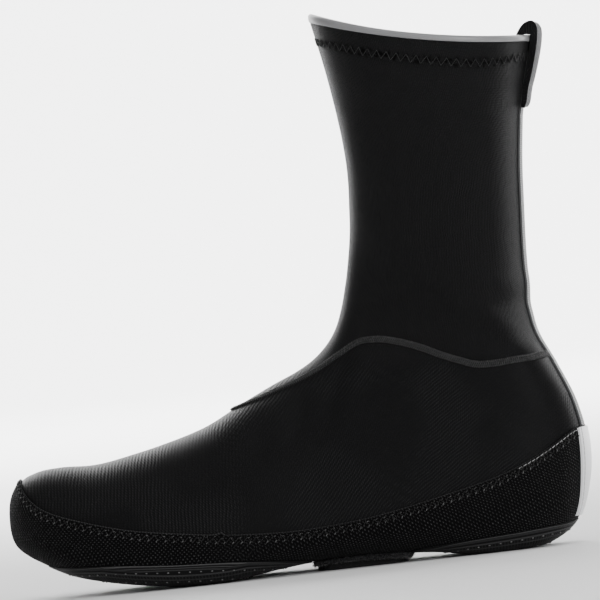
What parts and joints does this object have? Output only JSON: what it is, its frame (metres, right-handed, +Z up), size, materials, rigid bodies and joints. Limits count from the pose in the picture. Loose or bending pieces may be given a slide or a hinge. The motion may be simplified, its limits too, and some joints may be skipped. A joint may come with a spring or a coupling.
{
  "type": "overshoe",
  "caption": "Tall pull-on winter overshoe for the left foot: stretch sock with woven rand, rubber sole panels, arch strap and pull tab.",
  "frame": {"origin": "on the floor, under the centre of the shoe's bounding box", "axes": "+X from toe to heel, +Y towards the inner side of the left foot, +Z up; the outer side of the foot faces -Y"},
  "size_m": [0.3028, 0.1064, 0.2855],
  "materials": {
    "neoprene": "matt black jersey-faced neoprene with fine knit lines",
    "rand_weave": "coarse black basket weave, slightly glossy yarn",
    "sole_rubber": "ribbed dark rubberised fabric with rows of dots",
    "loop_pile": "fuzzy black loop pile",
    "hook_strap": "smooth black hook strap",
    "seam_tape": "flat overlocked seam",
    "grey_webbing": "dark grey herringbone webbing",
    "reflector": "silver reflective fabric",
    "collar_rubber": "smooth satin grey rubber bead"
  },
  "bodies": {
    "root": {"upper": "neoprene", "rand": "rand_weave", "forefoot_sole": "sole_rubber", "heel_sole": "sole_rubber", "strap_loop": "loop_pile", "strap_hook": "hook_strap", "ankle_seam": "seam_tape", "back_tape": "grey_webbing", "heel_reflector": "reflector", "collar_band": "collar_rubber", "pull_tab": "grey_webbing"}
  },
  "joints": []
}
